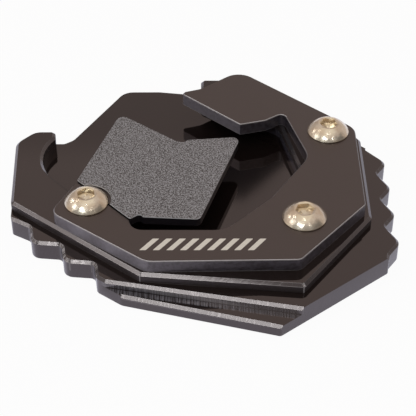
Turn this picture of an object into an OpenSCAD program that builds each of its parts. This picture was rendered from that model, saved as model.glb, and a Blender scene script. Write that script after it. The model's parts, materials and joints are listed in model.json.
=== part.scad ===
// Side-stand foot enlarger: a milled base plate with a foot pocket, a raised
// clamp plate with a springy tongue over the pocket, and three socket screws.
// Millimetres. +Z is up, the ground face lies at z = 0, the front points to -Y.

/* [Show] */
// Node to draw, or "all"

/* [Levels] */
// Thickness of the pocket floor, also the height of the front ledge
floor_t = 3.0; // [2:0.1:4]
// Top of the toothed lower flange
flange_top = 5.0; // [4.4:0.1:6]
// Top of the raised rim
rim_top = 7.4; // [6.6:0.1:9]
// Thickness of the clamp plate
clamp_t = 3.3; // [2:0.1:5]
// How far the tongue stands above the clamp plate
tongue_rise = 0.6; // [0.2:0.1:1.2]
// Thickness of the tongue
tongue_t = 2.25; // [1.5:0.05:2.6]

/* [Edges] */
// Chamfer on the rim
rim_cham = 0.7; // [0.2:0.05:1.2]
// Chamfer on the flange and the front line
flange_cham = 0.65; // [0.2:0.05:1.2]
// Edge break on the clamp plate
clamp_cham = 0.2; // [0.05:0.05:0.5]
// Largest turn of one facet along a rounded corner, degrees
arc_step = 15; // [6:1:20]

/* [Left row of teeth] */
// Start of the row, x
left_x = -47.1; // [-48:0.1:-46]
// Start of the row, y
left_y = -0.95; // [-2:0.05:0]
// Angle of the row below the X axis, degrees
left_angle = 38.5; // [36:0.1:41]
// Height of the valleys over the row line
left_valley = 1.05; // [0.6:0.05:1.5]
// Height of the tips over the row line
left_tip = 5.0; // [4:0.1:5.5]
// Distance from tip to tip
left_pitch = 10.5; // [10:0.1:11]
// Length of the steep side of a tooth
left_rise = 4.4; // [3.8:0.1:5]
// Position of the first valley along the row
left_first = 6.2; // [5.5:0.1:7]
// Height of the long straight last tooth
left_land = 4.2; // [3.8:0.1:4.6]

/* [Right row of teeth] */
// Valley line, x
right_valley = 42.7; // [42:0.1:43.5]
// Tip line, x
right_tip = 45.7; // [45:0.1:47]
// Distance from tip to tip
right_pitch = 10.15; // [9.8:0.05:10.5]
// Length of the steep side of a tooth
right_rise = 4.3; // [3.8:0.1:5]
// Position of the first valley, y
right_first = -15.4; // [-16:0.1:-14.8]
// Number of teeth in the row
right_count = 4; // [3:1:4]
// Radius on the tooth tips of both rows
tip_r = 2.6; // [1:0.1:3.2]
// Radius in the tooth valleys of both rows
valley_r = 1.4; // [0.5:0.1:2]

/* [Body outline] */
// Foremost point, x
nose_x = 16.3; // [15:0.1:18]
// Foremost point, y
nose_y = -37.6; // [-38.5:0.1:-37]
// Left end of the front line, x
front_left_x = -19.8; // [-20.5:0.1:-19]
// Left end of the front line, y
front_left_y = -27.75; // [-28.5:0.05:-27]
// Right end of the front-right wall, x
front_right_x = 42.4; // [41.8:0.1:43]
// Right end of the front-right wall, y
front_right_y = -16.9; // [-17.2:0.1:-16.4]
// Front step: middle of its edge, y
step_y = -29.6; // [-30.2:0.1:-29]
// Front step: slope of its edge
step_slope = -0.2; // [-0.24:0.01:-0.16]
// Front of the rim: middle of its edge, y
rim_front_y = -26.65; // [-27.3:0.05:-26]
// Front of the rim: slope of its edge
rim_front_slope = -0.1; // [-0.14:0.01:-0.06]
// Right face of the rim, x
rim_right = 39.3; // [38.6:0.1:40]
// Back face, y
back_y = 53.2; // [52.4:0.1:54]

/* [Foot pocket] */
// Radius of the hook's inner side
hook_r = 13.1; // [12.6:0.1:13.6]
// Centre of the hook's inner side, x
hook_cx = -28.8; // [-29.2:0.1:-28.4]
// Centre of the hook's inner side, y
hook_cy = 19.0; // [18.6:0.1:19.4]
// End face of the hook, x
hook_end = -39.6; // [-40:0.1:-39.2]
// End face of the bump opposite the hook, x
bump_end = -1.9; // [-3:0.1:-1]

/* [Screws] */
// Thread diameter
screw_d = 6.0; // [5:0.1:6]
// Clearance around a thread in the clamp plate
clear_gap = 0.3; // [0.1:0.05:0.6]
// Head diameter
head_d = 10.5; // [9:0.1:11]
// Head height
head_h = 2.8; // [2.2:0.1:3.4]
// Rounding of the head's top edge
head_r = 0.9; // [0.3:0.1:1.2]
// Socket size across its flats
hex_af = 4.0; // [3:0.1:4.5]
// Socket depth
hex_depth = 1.9; // [1:0.1:2]
// Gap between a screw's tip and the ground face
tip_gap = 0.6; // [0.3:0.1:1.5]
// Clearance around a thread in the base plate
thread_gap = 0.05; // [0.02:0.01:0.1]
// Clearance around a head beside the tongue
head_gap = 0.65; // [0.3:0.05:0.9]

/* [Hidden] */
clamp_top = rim_top + clamp_t;
tongue_top = clamp_top + tongue_rise;
screw_at = [[-29.0, -3.4], [22.7, -9.0], [30.65, 24.9]];
blast_black = [0.20, 0.18, 0.17];
satin_black = [0.10, 0.09, 0.09];
stainless = [0.80, 0.78, 0.74];
cut_over = 0.25;
run_over = 0.3;
// A cutter rounds its corners a little more than the wall does, in one facet more,
// so that no edge of the one runs exactly along an edge of the other.
cut_blend = 0.12;
arc_chord = 1.8;
$fn = 48;

// Every corner is [x, y, fillet radius, chamfer on the edge that follows it].
function flat(p) = [p[0], p[1]];
function unit(v) = v / norm(v);
function cross2(a, b) = a[0] * b[1] - a[1] * b[0];
function left_of(d) = [-d[1], d[0]];
function turned(v, a) = [v[0] * cos(a) - v[1] * sin(a), v[0] * sin(a) + v[1] * cos(a)];

function fillet_points(q, d1, d2, r, facets) =
    let (t = atan2(cross2(d1, d2), d1 * d2),
         s = q - r * tan(abs(t) / 2) * d1,
         c = s + sign(t) * r * left_of(d1))
    [for (k = [0:facets]) c + turned(s - c, t * k / facets)];

function corner_points(before, at, after, inset, cut) =
    let (d1 = unit(flat(at) - flat(before)),
         d2 = unit(flat(after) - flat(at)),
         c = cross2(d1, d2),
         a = inset * before[3],
         b = inset * at[3],
         q = flat(at) + (a * d2 - b * d1) / c,
         t = abs(atan2(c, d1 * d2)),
         n = max(1, ceil(t / arc_step), ceil(at[2] * t / 57.3 / arc_chord)),
         r = max(at[2] + cut * cut_blend - sign(c) * (a + b) / 2, 0.05))
    fillet_points(q, d1, d2, r, n + cut);

function outline(corners, inset = 0, cut = 0) =
    let (n = len(corners))
    [for (i = [0:n - 1]) each corner_points(
        corners[(i + n - 1) % n], corners[i], corners[(i + 1) % n], inset, cut)];

// The same for an open run of corners: its two ends only give the direction.
function run(corners, inset) =
    let (n = len(corners),
         d = unit(flat(corners[1]) - flat(corners[0])),
         e = unit(flat(corners[n - 1]) - flat(corners[n - 2])))
    concat([flat(corners[0]) - run_over * d + inset * left_of(d)],
        [for (i = [1:n - 2]) each corner_points(corners[i - 1], corners[i], corners[i + 1], inset, 1)],
        [flat(corners[n - 1]) + run_over * e + inset * left_of(e)]);

// Where two lines cross, each given by a point and a direction.
function meet(p, d, q, e) = p + d * (cross2(q - p, e) / cross2(d, e));

// A point of the left row: u along the row, n outwards from it.
function on_left(u, n, r) =
    let (e = [cos(left_angle), -sin(left_angle)],
         p = [left_x, left_y] + u * e - n * left_of(e))
    [p[0], p[1], r, 1];

left_dir = [cos(left_angle), -sin(left_angle)];
left_edge = [-47.75, -2.8];
left_up = unit([-1.55, 26.9]);
step_dir = unit([1, step_slope]);
front_right_dir = unit([front_right_x - nose_x, front_right_y - nose_y]);
land_at = on_left(0, left_land, 0);

left_row = [
    [left_edge[0], left_edge[1], 1.2, 1],
    on_left(left_first, left_valley, valley_r),
    each [for (k = [0:1]) each [
        on_left(left_first + k * left_pitch + left_rise, left_tip, tip_r),
        on_left(left_first + (k + 1) * left_pitch, left_valley, valley_r)]],
    on_left(left_first + 2 * left_pitch + 3.5, left_land, 1.6)
];

front_low = [
    [front_left_x, front_left_y, 3, 1],
    [nose_x, nose_y, 1, 0]
];

step_left = meet([0, step_y], step_dir, flat(land_at), left_dir);
step_right = meet([0, step_y], step_dir, [nose_x, nose_y], front_right_dir);
front_high = [
    [step_left[0], step_left[1], 0.3, 1],
    [step_right[0], step_right[1], 0.3, 0]
];

right_row = [
    [front_right_x, front_right_y, 0.9, 1],
    each [for (k = [0:right_count - 1]) each [
        [right_valley, right_first + k * right_pitch, valley_r, 1],
        [right_tip, right_first + k * right_pitch + right_rise, tip_r, 1]]],
    [40.9, 24.95, 1.5, 0]
];

back_run = [
    [9.5, back_y, 1.5, 1],
    [bump_end, back_y, 1.1, 1]
];

// The hook's inner side is one rounded corner between its two tangents.
hook_in = 132;
hook_out = 54;
hook_turn = [hook_cx, hook_cy]
    + hook_r / cos((hook_in - hook_out) / 2) * turned([0, 1], (hook_in + hook_out) / 2);
hook_root = hook_turn - 22 * [cos(hook_in), sin(hook_in)];
hook_tip = meet([hook_end, 0], [0, 1], hook_turn, [cos(hook_out), sin(hook_out)]);

// The pocket's wall, from the bump round to the hook's end face.
pocket_wall = [
    [bump_end, 47.4, 2, 1],
    [18.7, 32.9, 3, 1],
    [20.4, 25.3, 4, 1],
    [22.9, 14.2, 4, 1],
    [14.0, -3.1, 6, 1],
    [2.5, -11.6, 6, 1],
    [-15.1, -11.9, 3, 1],
    [-24.5, 0.5, 3, 1],
    [hook_root[0], hook_root[1], 3, 1],
    [hook_turn[0], hook_turn[1], hook_r, 1],
    [hook_tip[0], hook_tip[1], 0.6, 1]
];

hook_back = [
    [hook_end, 29.6, 0.9, 1],
    [-45.0, 29.6, 4, 1],
    [-49.35, 24.9, 4, 1]
];

floor_edge = [
    [bump_end, 51.6, 0.3, 0],
    [-13.4, 53.25, 3, 0],
    [-22.9, back_y, 4, 0],
    [-35.3, 31.2, 3, 0],
    [-37.6, 29.6, 1.4, 0]
];

rim_left = meet(left_edge, left_up, on_rim_left(0), left_dir);
rim_nose = meet([0, rim_front_y], unit([1, rim_front_slope]), on_rim_left(0), left_dir);
function on_rim_left(u) = [left_x, left_y] + [0.64, 0.36] + u * left_dir;

rim_front = [
    [rim_left[0], rim_left[1], 1.4, 1],
    [rim_nose[0], rim_nose[1], 1.4, 1],
    [21.95, rim_front_y + rim_front_slope * 21.95, 1.4, 1],
    [rim_right, -4.9, 1.6, 1],
    [rim_right, 26.4, 2.4, 1]
];

low_corners = concat(left_row, front_low, right_row, back_run, floor_edge,
    [hook_back[1], hook_back[2]]);
high_corners = concat(left_row, front_low, right_row, back_run, pocket_wall, hook_back);
rim_corners = concat(rim_front, back_run, pocket_wall, hook_back);

clamp_corners = [
    [-37.45, -7.04, 3, 1],
    [-14.2, -24.5, 5, 1],
    [21.2, -23.8, 2, 1],
    [37.62, -4.3, 0.9, 1],
    [37.62, 26.35, 4.5, 1],
    [8.4, 52.4, 5, 1],
    [-2.0, 43.9, 4, 1],
    [-7.5, 42.1, 0.9, 1],
    [8.28, 27.84, 0.6, 1],
    [14.9, 29.63, 2, 1],
    [19.71, 33.03, 1.4, 1],
    [25.16, 14.36, 5.6, 1],
    [15.2, -1.7, 6, 1],
    [4.0, -13.4, 6, 1],
    [-18.4, -13.35, 3, 1],
    [-18.4, -10.0, 0.6, 1],
    [-31.9, 4.4, 0.6, 1]
];

tongue_corners = [
    [-31.75, 4.3, 0.2, 1],
    [-18.35, -10.1, 0.4, 1],
    [-15.9, -8.2, 0.9, 1],
    [-15.3, -9.45, 0.7, 1],
    [-1.9, -10.3, 1.4, 1],
    [8.3, 21.7, 1.6, 1],
    [-5.2, 20.4, 0.9, 1],
    [-5.7, 19.2, 1.2, 1],
    [-8.0, 19.9, 1.5, 1],
    [-22.7, 31.4, 1.7, 1]
];

// A closed solid of rings that all have the same number of points.
module rings(loops, closed) {
    m = len(loops);
    n = len(loops[0]);
    polyhedron(
        points = [for (p = loops) each p],
        faces = concat(
            [for (k = [0:m - (closed ? 1 : 2)], i = [0:n - 1])
                [n * k + i, n * k + (i + 1) % n,
                 n * ((k + 1) % m) + (i + 1) % n, n * ((k + 1) % m) + i]],
            closed ? [] : [[for (i = [0:n - 1]) n - 1 - i], [for (i = [0:n - 1]) n * (m - 1) + i]]));
}

// What a chamfer takes off along an edge at height z: a triangle swept between
// two lines, one over the top inside the edge, one beside the wall outside it.
module cutter(inner, outer, z, c, closed) {
    rings([for (i = [0:len(inner) - 1]) [
        [outer[i][0], outer[i][1], z - c - cut_over],
        [outer[i][0], outer[i][1], z + cut_over],
        [inner[i][0], inner[i][1], z + cut_over]]], closed);
}

module chamfer_loop(corners, z, c) {
    cutter(outline(corners, c + cut_over, 1), outline(corners, -cut_over, 1), z, c, true);
}

module chamfer_run(corners, z, c) {
    cutter(run(corners, c + cut_over), run(corners, -cut_over), z, c, false);
}

module slab(corners, z) {
    linear_extrude(z) polygon(outline(corners));
}

module at_screws(z) {
    for (p = screw_at) translate([p[0], p[1], z]) children();
}

// The ledge milled along the front, down to the level of the pocket floor.
module front_ledge() {
    run = step_right - step_left;
    out = [-run[1], run[0]] / norm(run) * -12;
    translate([0, 0, floor_t]) linear_extrude(flange_top)
        polygon([step_left - run / 3, step_left - run / 3 + out,
            step_right + run / 3 + out, step_right + run / 3]);
}

module base_plate() {
    color(satin_black) difference() {
        union() {
            slab(low_corners, floor_t);
            difference() {
                slab(high_corners, flange_top);
                front_ledge();
            }
            slab(rim_corners, rim_top);
        }
        chamfer_loop(rim_corners, rim_top, rim_cham);
        chamfer_run(concat(left_row, front_high), flange_top, flange_cham);
        chamfer_run(right_row, flange_top, flange_cham);
        chamfer_run(front_low, floor_t, flange_cham);
        at_screws(-1) cylinder(h = rim_top + 2, d = screw_d + 2 * thread_gap);
    }
}

module clamp_plate() {
    color(blast_black) difference() {
        union() {
            translate([0, 0, rim_top]) slab(clamp_corners, clamp_t);
            difference() {
                translate([0, 0, tongue_top - tongue_t]) slab(tongue_corners, tongue_t);
                translate([screw_at[0][0], screw_at[0][1], clamp_top])
                    cylinder(h = tongue_t, d = head_d + 2 * head_gap);
            }
        }
        chamfer_loop(clamp_corners, clamp_top, clamp_cham);
        at_screws(rim_top - 1) cylinder(h = clamp_t + 2, d = screw_d + 2 * clear_gap);
    }
}

module screw() {
    arc_n = 6;
    difference() {
        union() {
            translate([0, 0, tip_gap]) cylinder(h = clamp_top - tip_gap, d = screw_d);
            translate([0, 0, clamp_top]) rotate_extrude() polygon(concat(
                [[0, 0], [head_d / 2, 0]],
                [for (k = [0:arc_n])
                    [head_d / 2 - head_r + head_r * cos(90 * k / arc_n),
                     head_h - head_r + head_r * sin(90 * k / arc_n)]],
                [[0, head_h]]));
        }
        translate([0, 0, clamp_top + head_h - hex_depth])
            cylinder(h = hex_depth + 1, d = hex_af / cos(30), $fn = 6);
    }
}

module clamp_screws() {
    color(stainless) at_screws(0) screw();
}

base_plate();
clamp_plate();
clamp_screws();
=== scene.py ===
"""Dresses the side-stand foot enlarger: a milled base, a clamp plate with a tongue, and screws.

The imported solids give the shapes. This script gives them their finishes, rebuilds the
screws with domed heads and sockets, marks the clamp plate with a row of plain ticks,
and sets the stage, the lamps and the camera. Lengths are in millimetres where a name
ends in _mm and where a finish reads a place, and in metres everywhere else.
"""

from __future__ import annotations

import functools
import json
import logging
import math
import operator
from dataclasses import dataclass, field
from enum import Enum
from typing import Any, Iterable, Mapping, Union

import bmesh
import bpy
from mathutils import Matrix, Vector

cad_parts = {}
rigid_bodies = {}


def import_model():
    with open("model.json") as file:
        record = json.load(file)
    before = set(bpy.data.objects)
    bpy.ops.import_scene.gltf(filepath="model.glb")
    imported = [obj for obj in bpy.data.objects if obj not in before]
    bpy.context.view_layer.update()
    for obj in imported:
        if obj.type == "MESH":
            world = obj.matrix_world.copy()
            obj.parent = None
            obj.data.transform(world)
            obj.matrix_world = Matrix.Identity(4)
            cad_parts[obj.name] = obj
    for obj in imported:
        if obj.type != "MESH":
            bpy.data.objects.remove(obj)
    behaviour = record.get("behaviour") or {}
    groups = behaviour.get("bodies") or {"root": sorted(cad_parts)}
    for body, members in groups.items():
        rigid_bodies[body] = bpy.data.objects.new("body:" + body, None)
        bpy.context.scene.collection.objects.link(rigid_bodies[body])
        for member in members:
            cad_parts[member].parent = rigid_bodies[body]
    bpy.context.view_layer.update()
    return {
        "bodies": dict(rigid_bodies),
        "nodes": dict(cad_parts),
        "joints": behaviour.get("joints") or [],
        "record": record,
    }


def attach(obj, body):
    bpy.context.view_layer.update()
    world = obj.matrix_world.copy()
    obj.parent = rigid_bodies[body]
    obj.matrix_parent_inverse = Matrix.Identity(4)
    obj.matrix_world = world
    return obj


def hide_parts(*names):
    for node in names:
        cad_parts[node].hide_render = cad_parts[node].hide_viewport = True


LOG = logging.getLogger("foot_enlarger")
MM = 0.001
SAME_POINT = 1e-7
BODY = "root"

Triple = tuple[float, float, float]
Colour = tuple[float, float, float]
Span = tuple[float, float]
Value = Union["Sock", float]
Paint = Union["Sock", Colour]
Settings = Mapping[str, Any]
Inputs = Mapping[Union[int, str], Any]

WHITE: Colour = (1.0, 1.0, 1.0)


class Level(Enum):
    """Heights of the milled levels over the ground, in millimetres."""

    LEDGE = 3.0
    FLANGE = 5.0
    RIM = 7.4
    CLAMP = 10.7
    TONGUE = 11.3

    def span(self, low: float, high: float) -> Span:
        """Returns the heights at two offsets from this level."""
        return self.value + low, self.value + high


class Sock:
    """One output socket that can be used in Python expressions."""

    def __init__(self, nodes: Nodes, socket: bpy.types.NodeSocket) -> None:
        """Keeps a socket and the tree that it is in."""
        self.nodes = nodes
        self.socket = socket

    def _math(self, operation: str, *values: Value) -> Sock:
        """Adds a Math node.

        Args:
            operation: What it does, such as MULTIPLY.
            *values: Its numbers or sockets, in order.

        Returns:
            Its result.
        """
        node = self.nodes.node("ShaderNodeMath", {"operation": operation}, dict(enumerate(values)))
        return self.nodes.out(node)

    def __add__(self, other: Value) -> Sock:
        """Returns self plus other."""
        return self._math("ADD", self, other)

    __radd__ = __add__

    def __mul__(self, other: Value) -> Sock:
        """Returns self times other."""
        return self._math("MULTIPLY", self, other)

    __rmul__ = __mul__

    def __sub__(self, other: Value) -> Sock:
        """Returns self minus other."""
        return self._math("SUBTRACT", self, other)

    def __rsub__(self, other: Value) -> Sock:
        """Returns other minus self."""
        return self._math("SUBTRACT", other, self)

    def __truediv__(self, other: Value) -> Sock:
        """Returns self divided by other."""
        return self._math("DIVIDE", self, other)

    def __pow__(self, other: Value) -> Sock:
        """Returns self to the power of other."""
        return self._math("POWER", self, other)

    def over(self, limit: float, soft: float) -> Sock:
        """Returns 0 below a limit and 1 above it, with a soft step.

        Args:
            limit: Where the step is.
            soft: Half the width of the step.

        Returns:
            A value from 0 to 1.
        """
        node = self.nodes.node("ShaderNodeMapRange", {"interpolation_type": "SMOOTHSTEP"},
                               {0: self, 1: limit - soft, 2: limit + soft})
        return self.nodes.out(node)

    def under(self, limit: float, soft: float) -> Sock:
        """Returns 1 below a limit and 0 above it, with a soft step."""
        return 1 - self.over(limit, soft)

    def between(self, span: Span, soft: float) -> Sock:
        """Returns 1 between two limits and 0 outside them, with soft steps."""
        return self.over(span[0], soft) * self.under(span[1], soft)

    def clamped(self) -> Sock:
        """Returns the value held between 0 and 1."""
        return self._math("MINIMUM", self._math("MAXIMUM", self, 0.0), 1.0)

    def rising(self, start: float, rate: float) -> Sock:
        """Returns 0 up to a start, and from there a rise to 1 at a given rate."""
        return ((self - start) * rate).clamped()


class Nodes:
    """A node tree with one method that adds any node."""

    def __init__(self, tree: bpy.types.NodeTree) -> None:
        """Empties a node tree and keeps it."""
        self.tree = tree
        tree.nodes.clear()

    def node(self, kind: str, settings: Settings, inputs: Inputs) -> bpy.types.Node:
        """Adds a node, sets its settings, then gives its inputs values or links.

        Args:
            kind: The node's type, such as ShaderNodeTexNoise.
            settings: The node's own properties, such as a Math node's operation.
            inputs: Values or sockets, by the input's name or number.

        Returns:
            The new node.
        """
        node = self.tree.nodes.new(kind)
        for name, value in settings.items():
            setattr(node, name, value)
        for name, value in inputs.items():
            slot = node.inputs[name]
            if isinstance(value, Sock):
                self.tree.links.new(value.socket, slot)
            elif slot.type == "RGBA":
                slot.default_value = (*value, 1.0)
            else:
                slot.default_value = value
        return node

    def out(self, node: bpy.types.Node, name: int | str = 0) -> Sock:
        """Returns one output of a node."""
        return Sock(self, node.outputs[name])


class Shader(Nodes):
    """The node tree of a material or a world, with the readings that finishes share."""

    def mix(self, factor: Value, first: Paint, second: Paint) -> Sock:
        """Returns a colour between two colours.

        Args:
            factor: 0 for the first colour, 1 for the second.
            first: A colour or a colour socket.
            second: A colour or a colour socket.

        Returns:
            The mixed colour.
        """
        # A Mix node has a set of sockets for each data type; these are the colour's.
        node = self.node("ShaderNodeMix", {"data_type": "RGBA"}, {0: factor, 6: first, 7: second})
        return self.out(node, 2)

    def noise(self, vector: Sock, scale: float, detail: float, roughness: float) -> Sock:
        """Returns the value of a noise texture.

        Args:
            vector: Where it is read.
            scale: Its size, in blobs per unit of the vector.
            detail: How many finer layers it has.
            roughness: How strong the finer layers are.

        Returns:
            A value around 0.5.
        """
        return self.out(self.node("ShaderNodeTexNoise", {}, {
            "Vector": vector, "Scale": scale, "Detail": detail, "Roughness": roughness}))

    def place(self, stretch: Triple = (1.0, 1.0, 1.0)) -> Sock:
        """Returns Object coordinates in millimetres.

        Args:
            stretch: A factor for each axis.

        Returns:
            The vector.
        """
        coordinates = self.out(self.node("ShaderNodeTexCoord", {}, {}), "Object")
        scale = tuple(factor / MM for factor in stretch)
        return self.out(self.node("ShaderNodeMapping", {}, {"Vector": coordinates, "Scale": scale}))

    def facing(self) -> Sock:
        """Returns the direction that the surface faces."""
        return self.out(self.node("ShaderNodeTexCoord", {}, {}), "Normal")

    def parts(self, vector: Sock) -> tuple[Sock, Sock, Sock]:
        """Returns the three parts of a vector."""
        node = self.node("ShaderNodeSeparateXYZ", {}, {0: vector})
        return self.out(node, 0), self.out(node, 1), self.out(node, 2)

    def vector(self, x: Value, y: Value, z: Value = 0.0) -> Sock:
        """Returns a vector made of three parts."""
        return self.out(self.node("ShaderNodeCombineXYZ", {}, {0: x, 1: y, 2: z}))

    def mill_marks(self, per_mm: float, height: float = 0.12) -> Sock:
        """Returns upright mill marks on walls and bevels.

        Args:
            per_mm: How many marks there are in a millimetre along the wall.
            height: How much they change over a millimetre of height.

        Returns:
            A value around 0.5.
        """
        x, y, z = self.parts(self.place())
        facing_x, facing_y, _ = self.parts(self.facing())
        # The small term keeps level faces from dividing by zero.
        flat = (facing_x * facing_x + facing_y * facing_y + 1e-6) ** 0.5
        along = (x * facing_y - y * facing_x) / flat
        spot = self.vector(along * per_mm, z * height, facing_x * 4)
        return self.noise(spot, 1.0, 2.0, 0.55)

    def bump(self, relief: Sock, depth_mm: float, strength: float) -> Sock:
        """Returns the surface's direction with a relief in it.

        Args:
            relief: The relief, where 1 is its full depth.
            depth_mm: The full depth.
            strength: How much of it shows.

        Returns:
            The new direction.
        """
        return self.out(self.node("ShaderNodeBump", {}, {
            "Height": relief, "Distance": depth_mm * MM, "Strength": strength}))

    def surface(self, inputs: Inputs) -> None:
        """Ends the material in a Principled shader with these inputs."""
        shader = self.out(self.node("ShaderNodeBsdfPrincipled", {}, inputs))
        self.node("ShaderNodeOutputMaterial", {}, {"Surface": shader})


def new_material(name: str) -> tuple[bpy.types.Material, Shader]:
    """Makes an empty node material.

    Args:
        name: The material's name.

    Returns:
        The material, and its node tree.
    """
    material = bpy.data.materials.new(name)
    material.use_nodes = True
    return material, Shader(material.node_tree)


def total(masks: Iterable[Sock]) -> Sock:
    """Returns the sum of some masks."""
    return functools.reduce(operator.add, masks)


def times(colour: Colour, factor: float) -> Colour:
    """Returns a colour made lighter or darker."""
    return tuple(part * factor for part in colour)


@dataclass(frozen=True)
class MilledZones:
    """Masks from 0 to 1 that pick out the parts of the milled base.

    Attributes:
        top: Level faces.
        wall: Upright faces.
        lit_left_wall: The flange's outer walls that face left, where light is painted on: they are
            coloured lighter to stand for the floor's light on them.
        rim: All that stands above the flange.
        bevel: The sloping faces of the bevels.
        bevel_lines: The lines where a bevel starts and ends.
        land: The bevel on the straight land beside the front step, which stays dull.
        teeth: The row of teeth on the left, to where the land starts.
        corner: Narrow faces between two walls or two bevels.
        step: The front step's wall, and the ledge along its foot.
        step_spot: A vector for the lines that run across the step. It is no mask.
        outside: All but the pocket and the land, where the edges are left plain.
        bright_side: How strongly an edge shines, by the way it faces.
    """

    top: Sock
    wall: Sock
    lit_left_wall: Sock
    rim: Sock
    bevel: Sock
    bevel_lines: Sock
    land: Sock
    teeth: Sock
    corner: Sock
    step: Sock
    step_spot: Sock
    outside: Sock
    bright_side: Sock


@dataclass(frozen=True)
class MilledAnodised:
    """Satin black anodising over milled faces: glossy tops, streaked walls, bright bevels with
    rubbed edges and painted glints, and painted light on the walls that face left.
    """

    top: Colour = (0.0065, 0.0042, 0.0038)
    wall: Colour = (0.0045, 0.0040, 0.0060)
    # Painted light on the flange's walls that face left.
    lit_left_wall: Colour = (0.060, 0.055, 0.070)
    bevel: Colour = (0.030, 0.029, 0.032)
    cutter_line: Colour = (0.150, 0.150, 0.172)
    # Rubbed edges, and painted glints on the bevels and corners.
    wear_and_glint: Colour = (0.42, 0.41, 0.42)
    sheen_tint: Colour = (1.0, 0.85, 0.81)
    gloss: float = 1.85
    top_roughness: float = 0.05
    wall_roughness: float = 0.14
    bevel_roughness: float = 0.13
    rim_roughness: float = 0.6
    land_roughness: float = 0.55
    marks_per_mm: float = 2.1
    fine_marks_per_mm: float = 3.6
    cutter_lines_per_mm: float = 3.2
    grain_per_mm: float = 5.0
    clouds_per_mm: float = 0.07
    relief_mm: float = 0.04
    bevel_heights_mm: tuple[Span, ...] = (
        Level.LEDGE.span(-0.64, -0.01), Level.FLANGE.span(-0.64, -0.01),
        Level.RIM.span(-0.69, -0.01))
    pocket_sides_mm: Span = (-41.0, 24.6)
    pocket_front_mm: float = -12.6
    teeth_end_mm: float = -25.6
    land_back_mm: float = -19.0
    step_line_mm: float = -29.6
    step_slope: float = -0.2
    step_wall_mm: Span = (3.18, 4.4)
    step_foot_mm: Span = (0.1, 1.6)

    def _zones(self, sh: Shader) -> MilledZones:
        """Finds the parts of the base by their place and by the way they face.

        Args:
            sh: The material's node tree.

        Returns:
            The masks.
        """
        across, back, height = sh.parts(sh.place())
        facing_x, _, up = sh.parts(sh.facing())
        top, wall = up.over(0.95, 0.03), up.under(0.3, 0.05)
        rim = height.over(Level.FLANGE.value + 0.05, 0.03)
        low = 1 - rim
        sloped = up.between((0.45, 0.9), 0.05)
        bevel = total(height.between(span, 0.01) for span in self.bevel_heights_mm) * sloped
        bevel_lines = total(height.between((edge - 0.05, edge + 0.05), 0.02)
                            for span in self.bevel_heights_mm for edge in span) * sloped
        land = (bevel * across.over(self.teeth_end_mm, 0.2) * back.under(self.land_back_mm, 0.3)
                * facing_x.under(-0.3, 0.04) * height.under(5.5, 0.1))
        pocket = across.between(self.pocket_sides_mm, 0.3) * back.over(self.pocket_front_mm, 0.3)
        corner = facing_x.between((0.2, 0.42), 0.04) + facing_x.between((-0.42, -0.27), 0.03)
        # How far in front of the step's slanting line a point is.
        ahead = ((across * self.step_slope - back + self.step_line_mm)
                 / math.hypot(1.0, self.step_slope))
        step_wall = wall * height.between(self.step_wall_mm, 0.06) * ahead.between((-0.5, 0.5), 0.1)
        step_foot = (top * height.between(Level.LEDGE.span(-0.1, 0.1), 0.03)
                     * ahead.between(self.step_foot_mm, 0.12))
        return MilledZones(
            top=top, wall=wall, rim=rim, bevel=bevel, bevel_lines=bevel_lines, land=land,
            lit_left_wall=wall * facing_x.under(-0.6, 0.1) * low,
            teeth=across.under(self.teeth_end_mm, 0.2) * low * facing_x.under(0.3, 0.1),
            corner=corner * (1 - top) * height.over(2.0, 0.1),
            step=(step_wall + step_foot) * (1 - across.over(6.0, 14.0) * 0.55),
            step_spot=sh.vector(across * self.cutter_lines_per_mm, ahead * 0.1),
            outside=(1 - pocket) * (1 - land),
            bright_side=1 - facing_x.over(0.12, 0.05) * 0.85)

    def _colour(self, sh: Shader, zones: MilledZones, marks: Sock, fine: Sock,
                cloud: Sock) -> Sock:
        """Lays the dark anodising, the cutter's lines, the painted light on the walls that face
        left, and the rubbed edges and painted glints on the bevels and corners.

        Args:
            sh: The material's node tree.
            zones: The parts of the base.
            marks: Mill marks.
            fine: Finer mill marks.
            cloud: A slow, faint blotching.

        Returns:
            The colour.
        """
        colour = sh.mix(zones.top, self.wall, self.top)
        colour = sh.mix(cloud.between((0.45, 0.8), 0.2) * 0.35, colour, times(self.top, 1.7))
        colour = sh.mix(zones.wall * marks.rising(0.45, 4.0) * 0.5, colour, times(self.wall, 4.0))
        # Painted light: the flange's walls that face left are coloured lighter, standing for the
        # pale floor's light on them.
        colour = sh.mix(zones.lit_left_wall, colour, self.lit_left_wall)
        lines = sh.noise(zones.step_spot, 1.0, 2.0, 0.6).rising(0.42, 6.0)
        colour = sh.mix(zones.step * lines, colour, self.cutter_line)
        colour = sh.mix(zones.bevel, colour, self.bevel)
        # Painted glints and rubbed edges: ticks, flecks, edge lines and corners are coloured light,
        # strongest where a bevel faces the lamps and faint where it faces right.
        ticks = (fine * 0.6 + marks * 0.4).rising(0.53, 11.0)
        flecks = marks.rising(0.54, 14.0)
        shining = zones.outside * zones.bright_side
        for wear_and_glint_mask in (zones.bevel * ticks * (0.6 - 0.45 * zones.rim) * shining,
                     zones.bevel * flecks * zones.teeth * 0.9,
                     zones.bevel_lines * (0.35 + 0.25 * zones.rim) * shining,
                     zones.corner * (0.25 + 0.45 * zones.rim) * zones.outside):
            colour = sh.mix(wear_and_glint_mask, colour, self.wear_and_glint)
        return colour

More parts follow.
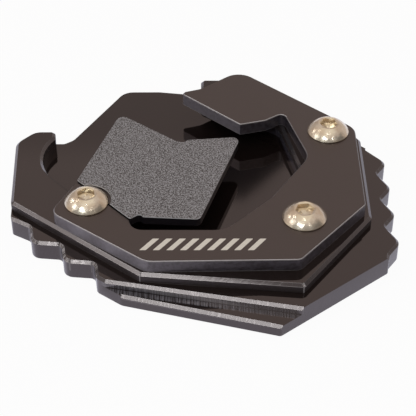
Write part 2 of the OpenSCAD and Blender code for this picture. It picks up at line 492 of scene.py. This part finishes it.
    def make(self) -> bpy.types.Material:
        """Builds the material.

        Returns:
            The finished material.
        """
        material, sh = new_material("anodised_satin")
        zones = self._zones(sh)
        marks, fine = sh.mill_marks(self.marks_per_mm), sh.mill_marks(self.fine_marks_per_mm, 0.3)
        grain = sh.noise(sh.place(), self.grain_per_mm, 2.0, 0.6)
        cloud = sh.noise(sh.place(), self.clouds_per_mm, 2.0, 0.5)
        rough = (self.wall_roughness + zones.top * (self.top_roughness - self.wall_roughness)
                 + zones.bevel * (self.bevel_roughness - self.wall_roughness)
                 + zones.land * (self.land_roughness - self.bevel_roughness)
                 + zones.wall * zones.rim * (self.rim_roughness - self.wall_roughness)
                 + (grain - 0.5) * 0.03 + (cloud - 0.5) * 0.03)
        relief = (marks * 0.8 + fine * 0.4) * (1 - zones.top) + grain * 0.02
        sh.surface({"Base Color": self._colour(sh, zones, marks, fine, cloud), "Roughness": rough,
                    "Metallic": 0.0, "IOR": self.gloss, "Specular Tint": self.sheen_tint,
                    "Normal": sh.bump(relief, self.relief_mm, 0.5)})
        return material


@dataclass(frozen=True)
class BlastedZones:
    """Masks from 0 to 1 that pick out the parts of the clamp plate.

    Attributes:
        top: Level faces.
        side: Upright faces.
        lit_leftward: Faces that look left, on the plate's left and middle, which get painted light.
        by_tongue: The part of the plan where the tongue stands free; its sides there get painted
            shade.
        tongue_top: The tongue's level face.
        tongue_edge_highlight: The top edge of the tongue, and the low step where it leaves the
            plate, where a light line is painted as a highlight.
        edges: The other edges of the sides, which get rubbed edges and painted highlight lines.
    """

    top: Sock
    side: Sock
    lit_leftward: Sock
    by_tongue: Sock
    tongue_top: Sock
    tongue_edge_highlight: Sock
    edges: Sock


@dataclass(frozen=True)
class BlastedAnodised:
    """Black anodising over a fine blasted face, coarser and greyer on the tongue."""

    face: Colour = (0.028, 0.018, 0.015)
    side: Colour = (0.048, 0.044, 0.056)
    # Painted light on the sides that face left.
    lit_left_side: Colour = (0.165, 0.155, 0.180)
    tongue: Colour = (0.176, 0.180, 0.190)
    # Painted shade on the tongue's sides and underside.
    shaded_tongue_side: Colour = (0.010, 0.009, 0.012)
    spark: Colour = (0.40, 0.42, 0.47)
    # Rubbed edges, and painted highlight lines along the plate's edges.
    wear_and_glint: Colour = (0.36, 0.35, 0.35)
    # A painted highlight along the tongue's top edge and step.
    tongue_edge_highlight: Colour = (0.97, 0.97, 0.98)
    sheen_tint: Colour = (1.0, 0.88, 0.85)
    gloss: float = 1.86
    side_roughness: float = 0.34
    roughness: float = 0.38
    tongue_roughness: float = 0.62
    tongue_grain_per_mm: float = 3.2
    face_grain_per_mm: float = 7.0
    clouds_per_mm: float = 0.06
    patches_per_mm: float = 1.1
    marks_per_mm: float = 1.8
    relief_mm: float = 0.06
    tongue_corner_mm: float = -30.0
    tongue_front_to_back_mm: Span = (-11.0, 22.5)
    tongue_right_mm: float = 9.3
    left_side_to_mm: float = 9.0

    def _zones(self, sh: Shader) -> BlastedZones:
        """Finds the parts of the clamp plate by their place and by the way they face.

        Args:
            sh: The material's node tree.

        Returns:
            The masks.
        """
        across, back, height = sh.parts(sh.place())
        facing_x, facing_y, up = sh.parts(sh.facing())
        top = up.over(0.9, 0.05)
        side = 1 - top
        by_tongue = ((across + back).over(self.tongue_corner_mm, 0.3)
                     * back.between(self.tongue_front_to_back_mm, 0.3)
                     * across.under(self.tongue_right_mm, 0.2))
        clamp_edge = height.between(Level.CLAMP.span(-0.2, -0.04), 0.03) * (1 - by_tongue)
        rim_edge = height.between(Level.RIM.span(-0.1, 0.12), 0.05)
        tongue_edge_highlight = height.between(Level.TONGUE.span(-0.22, 0.1), 0.05)
        step = (height.between((Level.CLAMP.value - 0.05, Level.TONGUE.value + 0.1), 0.05)
                * (1 - by_tongue) * facing_y.under(-0.3, 0.1))
        return BlastedZones(
            top=top, side=side,
            lit_leftward=facing_x.under(-0.25, 0.2) * across.under(self.left_side_to_mm, 1.0),
            by_tongue=by_tongue,
            tongue_top=height.over(Level.TONGUE.value - 0.15, 0.02) * top,
            tongue_edge_highlight=(tongue_edge_highlight + step).clamped() * side,
            edges=(clamp_edge + rim_edge) * side)

    def _colour(self, sh: Shader, zones: BlastedZones, grain: Sock, fine: Sock,
                marks: Sock) -> Sock:
        """Lays the brown-black face, the grey tongue, the sides and their edges, with painted light
        on the sides that face left, painted shade on the tongue's sides, rubbed edges with painted
        highlights, and a painted highlight along the tongue's top edge.

        Args:
            sh: The material's node tree.
            zones: The parts of the plate.
            grain: The coarse grain of the tongue.
            fine: The fine grain of the face.
            marks: Mill marks on the sides.

        Returns:
            The colour.
        """
        cloud = sh.noise(sh.place(), self.clouds_per_mm, 2.0, 0.5)
        patch = sh.noise(sh.place(), self.patches_per_mm, 2.0, 0.6)
        colour = sh.mix(zones.top, self.side, self.face)
        colour = sh.mix(cloud.rising(0.45, 2.0) * 0.4 * zones.top, colour, times(self.face, 0.75))
        colour = sh.mix(fine.rising(0.42, 4.0) * 0.5 * zones.top, colour, times(self.face, 1.6))
        # Painted light: the sides that face left are coloured lighter, standing for the lamps'
        # light on them.
        colour = sh.mix(zones.lit_leftward * zones.side, colour, self.lit_left_side)
        colour = sh.mix(patch.rising(0.42, 5.0) * zones.side * (1 - zones.lit_leftward * 0.8), colour,
                        times(self.side, 0.35))
        # Painted shade: the tongue's sides and underside are coloured near black, standing for the
        # shadow they stand in.
        colour = sh.mix(zones.by_tongue * zones.side, colour, self.shaded_tongue_side)
        grey = sh.mix(grain.rising(0.45, 10.0), times(self.tongue, 0.1), times(self.tongue, 1.9))
        grey = sh.mix(grain.rising(0.6, 9.0) * 0.7, grey, self.spark)
        colour = sh.mix(zones.tongue_top, colour, grey)
        # Rubbed edges and painted highlights: light lines along the plate's edges, lighter near the
        # tongue.
        colour = sh.mix(zones.edges * (0.15 + marks * 0.5 + zones.by_tongue * 0.4), colour,
                        self.wear_and_glint)
        # Painted highlight: a near-white line along the tongue's top edge and the step where it
        # leaves the plate.
        return sh.mix(zones.tongue_edge_highlight * 0.9, colour, self.tongue_edge_highlight)

    def make(self) -> bpy.types.Material:
        """Builds the material.

        Returns:
            The finished material.
        """
        material, sh = new_material("anodised_blasted")
        zones = self._zones(sh)
        grain = sh.noise(sh.place(), self.tongue_grain_per_mm, 2.0, 0.7)
        fine = sh.noise(sh.place(), self.face_grain_per_mm, 2.0, 0.6)
        marks = sh.mill_marks(self.marks_per_mm)
        rough = (self.side_roughness + zones.top * (self.roughness - self.side_roughness)
                 + zones.tongue_top * (self.tongue_roughness - self.roughness)
                 + (fine - 0.5) * 0.1)
        relief = fine * 0.5 + grain * (0.4 + 0.6 * zones.tongue_top) + marks * zones.side * 0.6
        sh.surface({"Base Color": self._colour(sh, zones, grain, fine, marks), "Roughness": rough,
                    "Metallic": 0.0, "IOR": self.gloss, "Specular Tint": self.sheen_tint,
                    "Normal": sh.bump(relief, self.relief_mm, 0.5)})
        return material


@dataclass(frozen=True)
class Stainless:
    """Plain stainless steel, tumbled bright, a little darker in its small pits."""

    base: Colour = (0.86, 0.77, 0.62)
    tarnish: Colour = (0.72, 0.58, 0.41)
    roughness: float = 0.24
    blotches_per_mm: float = 0.33
    dents_per_mm: float = 0.9
    pits_per_mm: float = 3.0
    relief_mm: float = 0.2

    def make(self) -> bpy.types.Material:
        """Builds the material.

        Returns:
            The finished material.
        """
        material, sh = new_material("stainless")
        blotch = sh.noise(sh.place(), self.blotches_per_mm, 2.0, 0.55)
        dent = sh.noise(sh.place(), self.dents_per_mm, 1.0, 0.5)
        pit = sh.noise(sh.place(), self.pits_per_mm, 2.0, 0.6)
        colour = sh.mix(blotch.rising(0.42, 3.5) * 0.8, self.base, self.tarnish)
        colour = sh.mix(pit.rising(0.55, 4.0) * 0.4, colour, self.tarnish)
        sh.surface({"Base Color": colour, "Roughness": self.roughness + (blotch - 0.5) * 0.1,
                    "Metallic": 1.0, "Normal": sh.bump(dent + pit * 0.12, self.relief_mm, 0.34)})
        return material


@dataclass(frozen=True)
class LaserMark:
    """The pale, matt surface that a laser leaves in anodising."""

    base: Colour = (0.88, 0.84, 0.75)
    roughness: float = 0.65
    speckles_per_mm: float = 6.0
    line_stretch: Triple = (0.3, 6.0, 1.0)
    relief_mm: float = 0.02

    def make(self) -> bpy.types.Material:
        """Builds the material.

        Returns:
            The finished material.
        """
        material, sh = new_material("laser_mark")
        speckle = sh.noise(sh.place(), self.speckles_per_mm, 2.0, 0.6)
        line = sh.noise(sh.place(self.line_stretch), 1.0, 1.0, 0.5)
        colour = sh.mix((speckle * 0.5 + line * 0.5).rising(0.4, 3.0), times(self.base, 0.87),
                        self.base)
        sh.surface({"Base Color": colour, "Roughness": self.roughness, "Metallic": 0.0,
                    "Normal": sh.bump(speckle, self.relief_mm, 0.3)})
        return material


def to_object(name: str, mesh: bmesh.types.BMesh, material: bpy.types.Material,
              smooth_angle: float = 32.0) -> bpy.types.Object:
    """Turns a bmesh into an object at the origin, shaded smooth up to an angle.

    Args:
        name: The piece's name.
        mesh: Its faces, in place, in metres. It is freed.
        material: Its finish.
        smooth_angle: Edges that turn more than this stay sharp, in degrees.

    Returns:
        The new object.
    """
    bmesh.ops.remove_doubles(mesh, verts=mesh.verts[:], dist=SAME_POINT)
    bmesh.ops.recalc_face_normals(mesh, faces=mesh.faces[:])
    limit = math.radians(smooth_angle)
    for face in mesh.faces:
        face.smooth = True
    for edge in mesh.edges:
        edge.smooth = len(edge.link_faces) == 2 and edge.calc_face_angle() < limit
    data = bpy.data.meshes.new(name)
    mesh.to_mesh(data)
    mesh.free()
    data.materials.append(material)
    piece = bpy.data.objects.new(name, data)
    bpy.context.scene.collection.objects.link(piece)
    return piece


def edges_of(verts: Iterable[bmesh.types.BMVert]) -> list[bmesh.types.BMEdge]:
    """Returns the edges that join these vertices to each other."""
    chosen = set(verts)
    return list({e for v in chosen for e in v.link_edges if e.other_vert(v) in chosen})


def verts_in(geometry: Iterable[Any]) -> list[bmesh.types.BMVert]:
    """Returns the vertices among the parts that an operator made."""
    return [part for part in geometry if isinstance(part, bmesh.types.BMVert)]


@dataclass
class WeldAndSmooth:
    """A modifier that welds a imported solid's loose triangles and shades its curves smooth."""

    name: str = "weld_and_smooth"
    angle: float = 26.0
    weld: float = 1e-6
    tree: bpy.types.NodeTree | None = None

    def build(self) -> bpy.types.NodeTree:
        """Builds the geometry nodes, once.

        Returns:
            Their tree.
        """
        if self.tree is not None:
            return self.tree
        self.tree = bpy.data.node_groups.new(self.name, "GeometryNodeTree")
        for side in ("INPUT", "OUTPUT"):
            self.tree.interface.new_socket("Geometry", in_out=side,
                                           socket_type="NodeSocketGeometry")
        nodes = Nodes(self.tree)
        solid = nodes.out(nodes.node("NodeGroupInput", {}, {}))
        welded = nodes.out(nodes.node("GeometryNodeMergeByDistance", {}, {
            "Geometry": solid, "Distance": self.weld}))
        faces = nodes.out(nodes.node("GeometryNodeSetShadeSmooth", {}, {"Geometry": welded}))
        turn = nodes.out(nodes.node("GeometryNodeInputMeshEdgeAngle", {}, {}), "Unsigned Angle")
        gentle = nodes.out(nodes.node("FunctionNodeCompare", {"operation": "LESS_THAN"}, {
            0: turn, 1: math.radians(self.angle)}))
        edges = nodes.out(nodes.node("GeometryNodeSetShadeSmooth", {"domain": "EDGE"}, {
            "Geometry": faces, "Shade Smooth": gentle}))
        nodes.node("NodeGroupOutput", {}, {0: edges})
        return self.tree

    def apply_to(self, solid: bpy.types.Object) -> None:
        """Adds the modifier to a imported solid."""
        solid.modifiers.new(self.name, "NODES").node_group = self.build()


def dress_solid(frame: Mapping[str, Any], node: str, material: bpy.types.Material,
                smoother: WeldAndSmooth) -> bpy.types.Object:
    """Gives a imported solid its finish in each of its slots, and smooths its curves.

    Args:
        node: The solid's name.
        material: Its finish.
        smoother: The modifier for curved walls.

    Returns:
        The solid.
    """
    solid = frame["nodes"][node]
    if not solid.material_slots:
        solid.data.materials.append(None)
    for slot in solid.material_slots:
        slot.material = material
    smoother.apply_to(solid)
    return solid


@dataclass
class BasePlate:
    """The milled base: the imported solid, with its finish."""

    node: str = "base_plate"
    finish: MilledAnodised = field(default_factory=MilledAnodised)

    def dress(self, frame: Mapping[str, Any], smoother: WeldAndSmooth) -> list[bpy.types.Object]:
        """Returns the base with its finish, in a list."""
        return [dress_solid(frame, self.node, self.finish.make(), smoother)]


@dataclass
class ClampPlate:
    """The clamp plate with its tongue, and the row of plain ticks near its front edge."""

    node: str = "clamp_plate"
    finish: BlastedAnodised = field(default_factory=BlastedAnodised)
    mark: LaserMark = field(default_factory=LaserMark)
    mark_from_mm: tuple[float, float] = (-13.5, -20.6)
    mark_pitch_mm: float = 3.1
    mark_count: int = 9
    mark_size_mm: tuple[float, float] = (1.5, 4.0)
    mark_slant: float = 0.75
    mark_depth_mm: float = 0.02
    mark_lift: float = 0.3
    mark_corner_mm: float = 0.15

    def dress(self, frame: Mapping[str, Any], smoother: WeldAndSmooth) -> list[bpy.types.Object]:
        """Returns the clamp plate with its finish, in a list."""
        return [dress_solid(frame, self.node, self.finish.make(), smoother)]

    def build(self) -> list[bpy.types.Object]:
        """Builds the slanted ticks, a hair above the plate.

        Returns:
            The ticks as one piece, in a list.
        """
        mesh = bmesh.new()
        wide, deep = (side * MM for side in self.mark_size_mm)
        shear = Matrix(((1, self.mark_slant, 0, 0), (0, 1, 0, 0), (0, 0, 1, 0), (0, 0, 0, 1)))
        for k in range(self.mark_count):
            made = bmesh.ops.create_cube(mesh, size=1.0)["verts"]
            bmesh.ops.scale(mesh, vec=(wide, deep, self.mark_depth_mm * MM), verts=made)
            bmesh.ops.transform(mesh, matrix=shear, verts=made)
            bmesh.ops.translate(mesh, verts=made, vec=(
                (self.mark_from_mm[0] + k * self.mark_pitch_mm) * MM,
                (self.mark_from_mm[1] + self.mark_size_mm[1] / 2) * MM,
                (Level.CLAMP.value + self.mark_depth_mm * self.mark_lift) * MM))
        upright = [e for e in mesh.edges
                   if abs(e.verts[0].co.z - e.verts[1].co.z) > SAME_POINT]
        bmesh.ops.bevel(mesh, geom=upright, offset=self.mark_corner_mm * MM, segments=3,
                        profile=0.5, affect="EDGES", material=-1)
        piece = to_object("plain_ticks", mesh, self.mark.make())
        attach(piece, BODY)
        return [piece]


@dataclass
class SocketScrews:
    """The three button-head screws, with domed heads and hexagon sockets.

    Each place is the screw's axis, then how its socket is turned, in degrees.
    """

    node: str = "clamp_screws"
    finish: Stainless = field(default_factory=Stainless)
    places: tuple[Triple, ...] = ((-29.0, -3.4, 8.0), (22.7, -9.0, 38.0), (30.65, 24.9, 21.0))
    head_mm: float = 10.5
    height_mm: float = 2.65
    edge_mm: float = 0.35
    flat_mm: float = 2.6
    seat_corner_mm: float = 0.12
    shank_mm: float = 6.0
    tip_mm: float = 0.6
    tip_corner_mm: float = 0.6
    socket_mm: float = 4.0
    socket_rim_mm: float = 0.15
    socket_depth_mm: float = 1.5
    socket_point_mm: float = 0.5
    socket_point_size: float = 0.02
    dome_steps: int = 14
    around: int = 72
    smooth_angle: float = 30.0

    def _profile(self) -> list[Vector]:
        """Works out the half outline from the shank's tip to the flat of the head.

        Returns:
            Its points, in metres.
        """
        base, shank = Level.CLAMP.value, self.shank_mm / 2
        r, h, e, f = self.head_mm / 2, self.height_mm, self.edge_mm, self.flat_mm
        centre = (f * f + h * h - r * r - e * e) / (2 * (h - e))
        dome = math.hypot(r, e - centre)
        start, end = math.atan2(e - centre, r), math.atan2(h - centre, f)
        angles = [start + (end - start) * k / self.dome_steps for k in range(self.dome_steps + 1)]
        points = [(0.0, self.tip_mm), (shank - self.tip_corner_mm, self.tip_mm),
                  (shank, self.tip_mm + self.tip_corner_mm), (shank, base),
                  (r - self.seat_corner_mm, base), (r, base + self.seat_corner_mm)]
        points += [(dome * math.cos(a), base + centre + dome * math.sin(a)) for a in angles]
        return [Vector((x * MM, 0.0, z * MM)) for x, z in points]

    def _sink_socket(self, one: bmesh.types.BMesh, turn: float) -> None:
        """Closes the top of a head with its hexagon socket and the cone at its end.

        Args:
            one: The screw's mesh, on the origin's axis.
            turn: How the socket is turned, in degrees.
        """
        top = (Level.CLAMP.value + self.height_mm) * MM
        lip = top - self.socket_rim_mm * MM
        six = bmesh.ops.create_circle(one, segments=6, radius=self.socket_mm / math.sqrt(3) * MM,
                                      cap_ends=False)["verts"]
        bmesh.ops.rotate(one, verts=six, cent=(0, 0, 0),
                         matrix=Matrix.Rotation(math.radians(turn), 3, "Z"))
        bmesh.ops.translate(one, verts=six, vec=(0, 0, lip))
        bmesh.ops.subdivide_edges(one, edges=edges_of(six), cuts=self.around // 6 - 1)
        rim = [v for v in one.verts if abs(v.co.z - top) < SAME_POINT]
        hexagon = [v for v in one.verts if abs(v.co.z - lip) < SAME_POINT]
        bmesh.ops.bridge_loops(one, edges=edges_of(rim) + edges_of(hexagon))
        low = verts_in(bmesh.ops.extrude_edge_only(one, edges=edges_of(hexagon))["geom"])
        depth = self.socket_depth_mm - self.socket_rim_mm
        bmesh.ops.translate(one, verts=low, vec=(0, 0, -depth * MM))
        point = verts_in(bmesh.ops.extrude_edge_only(one, edges=edges_of(low))["geom"])
        bmesh.ops.scale(one, vec=(self.socket_point_size, self.socket_point_size, 1.0), verts=point)
        bmesh.ops.translate(one, verts=point, vec=(0, 0, -self.socket_point_mm * MM))
        bmesh.ops.holes_fill(one, edges=edges_of(point), sides=self.around)

    def _add_one(self, mesh: bmesh.types.BMesh, place: Triple) -> None:
        """Adds one screw to a mesh.

        Args:
            mesh: Where it is added.
            place: Its axis, and how its socket is turned.
        """
        x, y, turn = place
        one = bmesh.new()
        line = [one.verts.new(point) for point in self._profile()]
        for pair in zip(line, line[1:]):
            one.edges.new(pair)
        bmesh.ops.spin(one, geom=one.verts[:] + one.edges[:], cent=(0, 0, 0), axis=(0, 0, 1),
                       angle=math.tau, steps=self.around, use_merge=True)
        self._sink_socket(one, turn)
        bmesh.ops.translate(one, verts=one.verts[:], vec=(x * MM, y * MM, 0))
        part = bpy.data.meshes.new("one_screw")
        one.to_mesh(part)
        one.free()
        mesh.from_mesh(part)
        bpy.data.meshes.remove(part)

    def build(self) -> list[bpy.types.Object]:
        """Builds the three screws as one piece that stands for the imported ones.

        Returns:
            The piece, in a list.
        """
        mesh = bmesh.new()
        for place in self.places:
            self._add_one(mesh, place)
        piece = to_object("socket_screws", mesh, self.finish.make(), self.smooth_angle)
        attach(piece, BODY)
        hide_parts(self.node)
        return [piece]


class LampShape(Enum):
    """The outline of a lamp's face."""

    BOX = "RECTANGLE"
    DISC = "ELLIPSE"


@dataclass(frozen=True)
class Lamp:
    """One soft lamp that looks at the part, with its power in watts."""

    name: str
    shape: LampShape
    at: Triple
    size: tuple[float, float]
    power: float
    tint: Colour = WHITE

    def build(self) -> bpy.types.Object:
        """Builds the lamp and turns it to the part.

        Returns:
            The lamp.
        """
        data = bpy.data.lights.new(self.name, "AREA")
        data.shape = self.shape.value
        data.size, data.size_y = self.size
        data.energy = self.power
        data.color = self.tint
        lamp = bpy.data.objects.new(self.name, data)
        lamp.location = self.at
        lamp.rotation_euler = (-Vector(self.at)).to_track_quat("-Z", "Y").to_euler()
        bpy.context.scene.collection.objects.link(lamp)
        return lamp


@dataclass(frozen=True)
class Floor:
    """The pale floor: white to the camera, with a faint shadow."""

    side: float = 3.0
    tone: Colour = (0.84, 0.84, 0.87)
    mirrored_tone: Colour = (0.86, 0.865, 1.0)
    white_share: float = 0.95
    mirrored_share: float = 0.92
    roughness: float = 0.9

    def build(self) -> bpy.types.Object:
        """Builds the floor.

        Returns:
            The floor.
        """
        mesh = bmesh.new()
        bmesh.ops.create_grid(mesh, x_segments=1, y_segments=1, size=self.side / 2)
        material, sh = new_material("pale_floor")
        path = sh.node("ShaderNodeLightPath", {}, {})
        to_camera, mirrored = sh.out(path, "Is Camera Ray"), sh.out(path, "Is Glossy Ray")
        paint = sh.out(sh.node("ShaderNodeBsdfPrincipled", {}, {
            "Base Color": self.tone, "Roughness": self.roughness}))
        glow = sh.out(sh.node("ShaderNodeEmission", {}, {
            "Color": sh.mix(to_camera, self.mirrored_tone, WHITE), "Strength": 1.0}))
        share = to_camera * self.white_share + mirrored * self.mirrored_share
        both = sh.out(sh.node("ShaderNodeMixShader", {}, {0: share, 1: paint, 2: glow}))
        sh.node("ShaderNodeOutputMaterial", {}, {"Surface": both})
        floor = to_object("floor", mesh, material)
        return floor


@dataclass(frozen=True)
class PocketShadeCard:
    """A dark sheet far behind the part, which the pocket's floor mirrors as painted shade for the
    pocket.

    Its sides and heights are directions: parts of the distance straight back.
    """

    tone: Colour = (0.03, 0.03, 0.035)
    sides: Span = (-0.004, 0.085)
    bottom: float = 0.752
    top: float = 0.827
    bend: float = 0.036
    droop: float = 1.1
    shade_fringe_top: float = 0.765
    shade_fringe_right: float = 0.03
    shade_fringe: float = 0.26

    def lay_on(self, sh: Shader, room: Sock, right: Sock, depth: Sock, up: Sock) -> Sock:
        """Darkens the room where the sheet stands, and a little to the left of it: painted shade
        that the pocket's floor mirrors.

        Args:
            sh: The world's node tree.
            room: The room's colour.
            right: How far right a direction points.
            depth: How far back it points.
            up: How far up it points.

        Returns:
            The room's colour with the card in it.
        """
        behind = depth.over(0.3, 0.01)
        # The small term keeps directions straight aside from dividing by zero.
        aside, high = right / (depth + 1e-4), up / (depth + 1e-4)
        past_bend = aside - self.bend
        slanted = high + past_bend.between((0.0, 0.2), 0.001) * past_bend * self.droop
        # Painted shade: a dark sheet in the room, which the pocket's floor mirrors to stand for the
        # shade in the pocket.
        shade_card = (behind * aside.between(self.sides, 0.004) * high.over(self.bottom, 0.006)
                * slanted.under(self.top, 0.004))
        shade_fringe = behind * high.under(self.shade_fringe_top, 0.02) * aside.under(self.shade_fringe_right, 0.03)
        return sh.mix(shade_card, sh.mix(shade_fringe * self.shade_fringe, room, self.tone), self.tone)


@dataclass(frozen=True)
class Room:
    """The pale room round the part, which the black faces mirror; white to the camera.

    Its parts start and end at directions, each from -1 to 1.
    """

    around: Colour = (0.56, 0.49, 0.465)
    overhead: Colour = (0.80, 0.75, 0.69)
    shade: Colour = (0.18, 0.17, 0.17)
    front: Colour = (0.29, 0.28, 0.28)
    front_starts: float = -0.3
    front_top: float = 0.72
    shade_starts: float = 0.6
    shade_back: float = 0.1
    shade_top: float = 0.62
    overhead_starts: float = 0.86
    shade_card: PocketShadeCard = PocketShadeCard()

    def build(self) -> bpy.types.World:
        """Builds the world.

        Returns:
            The world.
        """
        world = bpy.data.worlds.new("pale_room")
        world.use_nodes = True
        sh = Shader(world.node_tree)
        direction = sh.out(sh.node("ShaderNodeTexCoord", {}, {}), "Generated")
        right, depth, up = sh.parts(direction)
        in_front = depth.under(self.front_starts, 0.2) * up.under(self.front_top, 0.1)
        at_right = (right.over(self.shade_starts, 0.2) * depth.under(self.shade_back, 0.15)
                    * up.under(self.shade_top, 0.06))
        room = sh.mix(in_front, self.around, self.front)
        room = sh.mix(at_right, room, self.shade)
        room = sh.mix(up.over(self.overhead_starts, 0.1), room, self.overhead)
        room = self.shade_card.lay_on(sh, room, right, depth, up)
        to_camera = sh.out(sh.node("ShaderNodeLightPath", {}, {}), "Is Camera Ray")
        glow = sh.out(sh.node("ShaderNodeBackground", {}, {
            "Color": sh.mix(to_camera, room, WHITE), "Strength": 1.0}))
        sh.node("ShaderNodeOutputWorld", {}, {"Surface": glow})
        bpy.context.scene.world = world
        return world


@dataclass(frozen=True)
class Viewpoint:
    """The camera at the photograph's angle, square to the part's front."""

    elevation: float = 40.0
    distance: float = 0.316
    look_at: Triple = (0.0, 0.0, 0.006)
    lens: float = 112.5
    sensor: float = 36.0
    clip_start: float = 0.01

    def build(self) -> bpy.types.Object:
        """Builds the camera.

        Returns:
            The camera.
        """
        tilt = math.radians(self.elevation)
        data = bpy.data.cameras.new("camera")
        data.sensor_width = self.sensor
        data.lens = self.lens
        data.clip_start = self.clip_start
        camera = bpy.data.objects.new("camera", data)
        camera.location = Vector(self.look_at) + self.distance * Vector(
            (0.0, -math.cos(tilt), math.sin(tilt)))
        camera.rotation_euler = (math.pi / 2 - tilt, 0.0, 0.0)
        bpy.context.scene.collection.objects.link(camera)
        bpy.context.scene.camera = camera
        return camera


@dataclass(frozen=True)
class Stage:
    """The camera, the floor, the room and the lamps."""

    viewpoint: Viewpoint = Viewpoint()
    floor: Floor = Floor()
    room: Room = Room()
    lamps: tuple[Lamp, ...] = (
        Lamp("front_left_box", LampShape.BOX, (-0.36, -0.77, 0.87), (0.46, 0.26), 1.72,
             (0.86, 0.95, 1.0)),
        Lamp("left_box", LampShape.BOX, (-0.96, -0.22, 0.7), (0.40, 0.40), 0.85,
             (0.9, 0.96, 1.0)),
        Lamp("back_left_spot", LampShape.DISC, (-0.81, 0.34, 0.49), (0.07, 0.07), 0.2),
        Lamp("high_left_spot", LampShape.DISC, (-0.59, 0.12, 0.80), (0.06, 0.06), 0.14),
        Lamp("overhead_spot", LampShape.DISC, (0.0, -0.32, 0.95), (0.05, 0.05), 0.08),
        Lamp("front_right_spot", LampShape.DISC, (0.40, -0.60, 0.69), (0.06, 0.06), 0.14),
    )

    def build(self) -> None:
        """Builds the whole stage, with the Standard view transform."""
        for part in (self.viewpoint, self.floor, self.room, *self.lamps):
            part.build()
        bpy.context.scene.view_settings.view_transform = "Standard"


def write_sizes() -> None:
    """Updates the view layer.
    """
    bpy.context.view_layer.update()


def main() -> None:
    """Builds the part's look in order, and reports each piece."""
    logging.basicConfig(level=logging.INFO, format="%(name)s: %(message)s")
    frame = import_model()
    Stage().build()
    smoother = WeldAndSmooth()
    base, clamp, screws = BasePlate(), ClampPlate(), SocketScrews()
    pieces = [*base.dress(frame, smoother), *clamp.dress(frame, smoother), *clamp.build(),
              *screws.build()]
    for piece in pieces:
        LOG.info("%s: %d faces", piece.name, len(piece.data.polygons))
    write_sizes()


if __name__ == "__main__":
    main()
